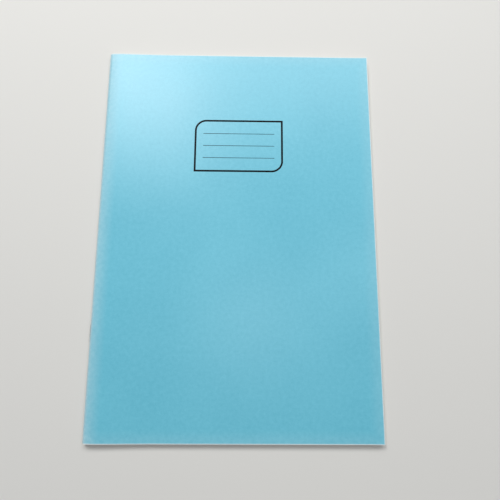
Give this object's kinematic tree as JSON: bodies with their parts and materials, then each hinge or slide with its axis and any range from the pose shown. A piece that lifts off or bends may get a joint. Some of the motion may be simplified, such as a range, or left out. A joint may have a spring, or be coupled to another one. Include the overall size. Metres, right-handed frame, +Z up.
{
  "type": "stapled exercise book",
  "caption": "A4 exercise book: folded sheets of writing paper in a folded card cover, held by wire staples through the fold. The cover, leaves and spine turn about the fold as it opens.",
  "frame": {"origin": "under the middle of the closed book, on the outside of the back cover", "axes": "+X from the fold to the fore-edge, +Y from the tail to the head of the page, +Z up through the front cover of the closed book"},
  "size_m": [0.2106, 0.297, 0.0053],
  "materials": {
    "cover_card": "satin",
    "paper": "matte",
    "wire": "bright drawn wire"
  },
  "bodies": {
    "back_half": {"back_cover": "cover_card", "sheet_01_back_leaf": "paper", "sheet_02_back_leaf": "paper", "sheet_03_back_leaf": "paper", "sheet_04_back_leaf": "paper", "sheet_05_back_leaf": "paper", "sheet_06_back_leaf": "paper", "sheet_07_back_leaf": "paper", "sheet_08_back_leaf": "paper", "sheet_09_back_leaf": "paper", "sheet_10_back_leaf": "paper", "sheet_11_back_leaf": "paper", "sheet_12_back_leaf": "paper", "sheet_13_back_leaf": "paper", "sheet_14_back_leaf": "paper", "sheet_15_back_leaf": "paper", "sheet_16_back_leaf": "paper", "sheet_17_back_leaf": "paper", "sheet_18_back_leaf": "paper", "sheet_19_back_leaf": "paper", "sheet_20_back_leaf": "paper"},
    "front_cover": {"front_cover": "cover_card"},
    "spine": {"cover_fold": "cover_card", "sheet_folds": "paper", "head_staple": "wire", "tail_staple": "wire"},
    "sheet_01_front": {"sheet_01_front_leaf": "paper"},
    "sheet_02_front": {"sheet_02_front_leaf": "paper"},
    "sheet_03_front": {"sheet_03_front_leaf": "paper"},
    "sheet_04_front": {"sheet_04_front_leaf": "paper"},
    "sheet_05_front": {"sheet_05_front_leaf": "paper"},
    "sheet_06_front": {"sheet_06_front_leaf": "paper"},
    "sheet_07_front": {"sheet_07_front_leaf": "paper"},
    "sheet_08_front": {"sheet_08_front_leaf": "paper"},
    "sheet_09_front": {"sheet_09_front_leaf": "paper"},
    "sheet_10_front": {"sheet_10_front_leaf": "paper"},
    "sheet_11_front": {"sheet_11_front_leaf": "paper"},
    "sheet_12_front": {"sheet_12_front_leaf": "paper"},
    "sheet_13_front": {"sheet_13_front_leaf": "paper"},
    "sheet_14_front": {"sheet_14_front_leaf": "paper"},
    "sheet_15_front": {"sheet_15_front_leaf": "paper"},
    "sheet_16_front": {"sheet_16_front_leaf": "paper"},
    "sheet_17_front": {"sheet_17_front_leaf": "paper"},
    "sheet_18_front": {"sheet_18_front_leaf": "paper"},
    "sheet_19_front": {"sheet_19_front_leaf": "paper"},
    "sheet_20_front": {"sheet_20_front_leaf": "paper"}
  },
  "joints": [
    {"name": "front_cover_hinge", "type": "hinge", "parent": "back_half", "child": "front_cover", "pos_m": [-0.10211, 0, 0.00263], "axis": [0, -1, 0], "range_deg": [0, 179.8], "deforming": ["cover_fold", "sheet_folds"]},
    {"name": "spine_turn", "type": "hinge", "parent": "back_half", "child": "spine", "pos_m": [-0.10211, 0, 0.00263], "axis": [0, -1, 0], "range_deg": [0, 90]},
    {"name": "sheet_01_turn", "type": "hinge", "parent": "back_half", "child": "sheet_01_front", "pos_m": [-0.10211, 0, 0.00263], "axis": [0, -1, 0], "range_deg": [0, 180]},
    {"name": "sheet_02_turn", "type": "hinge", "parent": "back_half", "child": "sheet_02_front", "pos_m": [-0.10211, 0, 0.00263], "axis": [0, -1, 0], "range_deg": [0, 180]},
    {"name": "sheet_03_turn", "type": "hinge", "parent": "back_half", "child": "sheet_03_front", "pos_m": [-0.10211, 0, 0.00263], "axis": [0, -1, 0], "range_deg": [0, 180]},
    {"name": "sheet_04_turn", "type": "hinge", "parent": "back_half", "child": "sheet_04_front", "pos_m": [-0.10211, 0, 0.00263], "axis": [0, -1, 0], "range_deg": [0, 180]},
    {"name": "sheet_05_turn", "type": "hinge", "parent": "back_half", "child": "sheet_05_front", "pos_m": [-0.10211, 0, 0.00263], "axis": [0, -1, 0], "range_deg": [0, 180]},
    {"name": "sheet_06_turn", "type": "hinge", "parent": "back_half", "child": "sheet_06_front", "pos_m": [-0.10211, 0, 0.00263], "axis": [0, -1, 0], "range_deg": [0, 180]},
    {"name": "sheet_07_turn", "type": "hinge", "parent": "back_half", "child": "sheet_07_front", "pos_m": [-0.10211, 0, 0.00263], "axis": [0, -1, 0], "range_deg": [0, 180]},
    {"name": "sheet_08_turn", "type": "hinge", "parent": "back_half", "child": "sheet_08_front", "pos_m": [-0.10211, 0, 0.00263], "axis": [0, -1, 0], "range_deg": [0, 180]},
    {"name": "sheet_09_turn", "type": "hinge", "parent": "back_half", "child": "sheet_09_front", "pos_m": [-0.10211, 0, 0.00263], "axis": [0, -1, 0], "range_deg": [0, 180]},
    {"name": "sheet_10_turn", "type": "hinge", "parent": "back_half", "child": "sheet_10_front", "pos_m": [-0.10211, 0, 0.00263], "axis": [0, -1, 0], "range_deg": [0, 180]},
    {"name": "sheet_11_turn", "type": "hinge", "parent": "back_half", "child": "sheet_11_front", "pos_m": [-0.10211, 0, 0.00263], "axis": [0, -1, 0], "range_deg": [0, 180]},
    {"name": "sheet_12_turn", "type": "hinge", "parent": "back_half", "child": "sheet_12_front", "pos_m": [-0.10211, 0, 0.00263], "axis": [0, -1, 0], "range_deg": [0, 180]},
    {"name": "sheet_13_turn", "type": "hinge", "parent": "back_half", "child": "sheet_13_front", "pos_m": [-0.10211, 0, 0.00263], "axis": [0, -1, 0], "range_deg": [0, 180]},
    {"name": "sheet_14_turn", "type": "hinge", "parent": "back_half", "child": "sheet_14_front", "pos_m": [-0.10211, 0, 0.00263], "axis": [0, -1, 0], "range_deg": [0, 180]},
    {"name": "sheet_15_turn", "type": "hinge", "parent": "back_half", "child": "sheet_15_front", "pos_m": [-0.10211, 0, 0.00263], "axis": [0, -1, 0], "range_deg": [0, 180]},
    {"name": "sheet_16_turn", "type": "hinge", "parent": "back_half", "child": "sheet_16_front", "pos_m": [-0.10211, 0, 0.00263], "axis": [0, -1, 0], "range_deg": [0, 180]},
    {"name": "sheet_17_turn", "type": "hinge", "parent": "back_half", "child": "sheet_17_front", "pos_m": [-0.10211, 0, 0.00263], "axis": [0, -1, 0], "range_deg": [0, 180]},
    {"name": "sheet_18_turn", "type": "hinge", "parent": "back_half", "child": "sheet_18_front", "pos_m": [-0.10211, 0, 0.00263], "axis": [0, -1, 0], "range_deg": [0, 180]},
    {"name": "sheet_19_turn", "type": "hinge", "parent": "back_half", "child": "sheet_19_front", "pos_m": [-0.10211, 0, 0.00263], "axis": [0, -1, 0], "range_deg": [0, 180]},
    {"name": "sheet_20_turn", "type": "hinge", "parent": "back_half", "child": "sheet_20_front", "pos_m": [-0.10211, 0, 0.00263], "axis": [0, -1, 0], "range_deg": [0, 180]}
  ],
  "couplings": [
    {"joint": "spine_turn", "follows": "front_cover_hinge", "ratio": 0.5},
    {"joint": "sheet_01_turn", "follows": "front_cover_hinge", "ratio": 0.9998},
    {"joint": "sheet_02_turn", "follows": "front_cover_hinge", "ratio": 0.9996},
    {"joint": "sheet_03_turn", "follows": "front_cover_hinge", "ratio": 0.9994},
    {"joint": "sheet_04_turn", "follows": "front_cover_hinge", "ratio": 0.9992},
    {"joint": "sheet_05_turn", "follows": "front_cover_hinge", "ratio": 0.999},
    {"joint": "sheet_06_turn", "follows": "front_cover_hinge", "ratio": 0.9988},
    {"joint": "sheet_07_turn", "follows": "front_cover_hinge", "ratio": 0.9986},
    {"joint": "sheet_08_turn", "follows": "front_cover_hinge", "ratio": 0.9984},
    {"joint": "sheet_09_turn", "follows": "front_cover_hinge", "ratio": 0.9982},
    {"joint": "sheet_10_turn", "follows": "front_cover_hinge", "ratio": 0.998},
    {"joint": "sheet_11_turn", "follows": "front_cover_hinge", "ratio": 0.9978},
    {"joint": "sheet_12_turn", "follows": "front_cover_hinge", "ratio": 0.9976},
    {"joint": "sheet_13_turn", "follows": "front_cover_hinge", "ratio": 0.9974},
    {"joint": "sheet_14_turn", "follows": "front_cover_hinge", "ratio": 0.9972},
    {"joint": "sheet_15_turn", "follows": "front_cover_hinge", "ratio": 0.997},
    {"joint": "sheet_16_turn", "follows": "front_cover_hinge", "ratio": 0.9968},
    {"joint": "sheet_17_turn", "follows": "front_cover_hinge", "ratio": 0.9966},
    {"joint": "sheet_18_turn", "follows": "front_cover_hinge", "ratio": 0.9964},
    {"joint": "sheet_19_turn", "follows": "front_cover_hinge", "ratio": 0.9962},
    {"joint": "sheet_20_turn", "follows": "front_cover_hinge", "ratio": 0.996}
  ]
}
